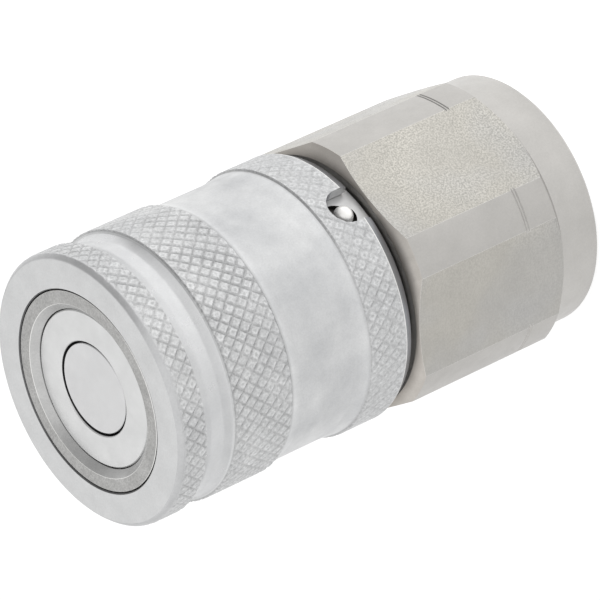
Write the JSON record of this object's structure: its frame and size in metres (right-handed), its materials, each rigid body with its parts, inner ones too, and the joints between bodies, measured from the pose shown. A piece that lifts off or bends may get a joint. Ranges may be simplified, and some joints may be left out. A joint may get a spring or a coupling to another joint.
{
  "type": "hydraulic quick coupling socket",
  "caption": "Flat-face hydraulic quick coupling, socket half: knurled lock sleeve that slides and turns, hexagon body with a threaded port, sprung sliding valve sleeve and fixed flat poppet.",
  "frame": {"origin": "centre of the rear collar's end face, which the part stands on", "axes": "+Z along the coupling's axis towards the mating face; +X through one hexagon flat and the safety ball"},
  "size_m": [0.0278, 0.029, 0.054],
  "materials": {
    "plated_sleeve": "satin bluish-white zinc plating, diamond knurled bands",
    "plated_body": "satin warm grey zinc-nickel plating, milled flats",
    "socket_steel": "fine turned, plated",
    "valve_steel": "fine turned face, plated",
    "stem_steel": "fine turned face",
    "spring_steel": "drawn spring wire",
    "ball_steel": "polished bearing steel",
    "seal_rubber": "matt black nitrile",
    "backup_plastic": "off-white back-up ring plastic"
  },
  "bodies": {
    "body": {"hex_body": "plated_body", "socket_body": "socket_steel", "valve_stem": "stem_steel", "stem_seal": "seal_rubber", "nose_seal": "seal_rubber", "valve_outer_seal": "seal_rubber", "valve_backup_ring": "backup_plastic", "body_o_ring": "seal_rubber", "body_backup_ring": "backup_plastic", "safety_ball": "ball_steel", "sleeve_spring": "spring_steel", "valve_spring": "spring_steel"},
    "sleeve_carrier": {"spring_washer": "spring_steel"},
    "lock_sleeve": {"lock_sleeve": "plated_sleeve"},
    "valve": {"valve_sleeve": "valve_steel", "valve_stop_ring": "spring_steel"},
    "ball_1": {"locking_ball_1": "ball_steel"},
    "ball_2": {"locking_ball_2": "ball_steel"},
    "ball_3": {"locking_ball_3": "ball_steel"},
    "ball_4": {"locking_ball_4": "ball_steel"},
    "ball_5": {"locking_ball_5": "ball_steel"},
    "ball_6": {"locking_ball_6": "ball_steel"},
    "ball_7": {"locking_ball_7": "ball_steel"},
    "ball_8": {"locking_ball_8": "ball_steel"}
  },
  "joints": [
    {"name": "lock_sleeve_slide", "type": "slide", "parent": "body", "child": "sleeve_carrier", "axis": [0, 0, 1], "range_m": [-0.0002, 0.0031], "stiffness_N_per_m": 3000, "deforming": ["sleeve_spring"]},
    {"name": "lock_sleeve_turn", "type": "hinge", "parent": "sleeve_carrier", "child": "lock_sleeve", "pos_m": [0, 0, 0.0395], "axis": [0, 0, 1], "range_deg": [-4.5, 0.8]},
    {"name": "valve_slide", "type": "slide", "parent": "body", "child": "valve", "axis": [0, 0, -1], "range_m": [0, 0.0093], "stiffness_N_per_m": 2500, "deforming": ["valve_spring"]},
    {"name": "ball_1_slide", "type": "slide", "parent": "body", "child": "ball_1", "axis": [-0.9239, -0.3827, 0], "range_m": [-0.0001, 0.00062]},
    {"name": "ball_2_slide", "type": "slide", "parent": "body", "child": "ball_2", "axis": [-0.3827, -0.9239, 0], "range_m": [-0.0001, 0.00062]},
    {"name": "ball_3_slide", "type": "slide", "parent": "body", "child": "ball_3", "axis": [0.3827, -0.9239, 0], "range_m": [-0.0001, 0.00062]},
    {"name": "ball_4_slide", "type": "slide", "parent": "body", "child": "ball_4", "axis": [0.9239, -0.3827, 0], "range_m": [-0.0001, 0.00062]},
    {"name": "ball_5_slide", "type": "slide", "parent": "body", "child": "ball_5", "axis": [0.9239, 0.3827, 0], "range_m": [-0.0001, 0.00062]},
    {"name": "ball_6_slide", "type": "slide", "parent": "body", "child": "ball_6", "axis": [0.3827, 0.9239, 0], "range_m": [-0.0001, 0.00062]},
    {"name": "ball_7_slide", "type": "slide", "parent": "body", "child": "ball_7", "axis": [-0.3827, 0.9239, 0], "range_m": [-0.0001, 0.00062]},
    {"name": "ball_8_slide", "type": "slide", "parent": "body", "child": "ball_8", "axis": [-0.9239, 0.3827, 0], "range_m": [-0.0001, 0.00062]}
  ],
  "couplings": [
    {"joint": "ball_1_slide", "follows": "lock_sleeve_slide", "ratio": 0.2},
    {"joint": "ball_2_slide", "follows": "lock_sleeve_slide", "ratio": 0.2},
    {"joint": "ball_3_slide", "follows": "lock_sleeve_slide", "ratio": 0.2},
    {"joint": "ball_4_slide", "follows": "lock_sleeve_slide", "ratio": 0.2},
    {"joint": "ball_5_slide", "follows": "lock_sleeve_slide", "ratio": 0.2},
    {"joint": "ball_6_slide", "follows": "lock_sleeve_slide", "ratio": 0.2},
    {"joint": "ball_7_slide", "follows": "lock_sleeve_slide", "ratio": 0.2},
    {"joint": "ball_8_slide", "follows": "lock_sleeve_slide", "ratio": 0.2}
  ]
}
